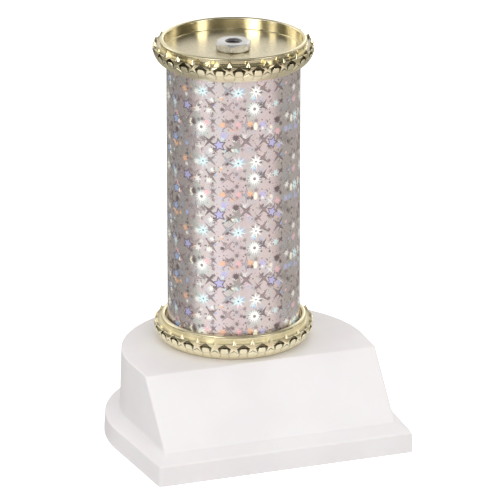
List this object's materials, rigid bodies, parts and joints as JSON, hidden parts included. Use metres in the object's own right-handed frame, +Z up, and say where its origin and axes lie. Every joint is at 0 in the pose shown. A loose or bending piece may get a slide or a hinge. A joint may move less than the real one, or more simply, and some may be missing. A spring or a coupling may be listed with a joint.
{
  "type": "column trophy",
  "caption": "Trophy with a round foil-wrapped column between star-ringed gold cups, clamped by a threaded rod to a weighted white base with a round back and a sloped front.",
  "frame": {"origin": "middle of the base's footprint, on the surface it stands on", "axes": "+Z up along the column, -Y towards the sloped front, +X to the right seen from behind; the column's axis stands 8.4 mm behind the origin, on +Y"},
  "size_m": [0.108, 0.0998, 0.1529],
  "materials": {
    "white_plastic": "satin",
    "cast_weight": "matte",
    "felt": "matte",
    "zinc_steel": "satin",
    "gold_plated_plastic": "polished",
    "column_plastic": "gloss",
    "star_foil": "polished"
  },
  "bodies": {
    "root": {"base_shell": "white_plastic", "base_weight": "cast_weight", "base_pad": "felt", "threaded_rod": "zinc_steel", "bottom_washer": "zinc_steel", "bottom_nut": "zinc_steel", "lower_cup": "gold_plated_plastic", "column_tube": "column_plastic", "column_film": "star_foil", "upper_cup": "gold_plated_plastic", "top_nut": "zinc_steel"}
  },
  "joints": []
}
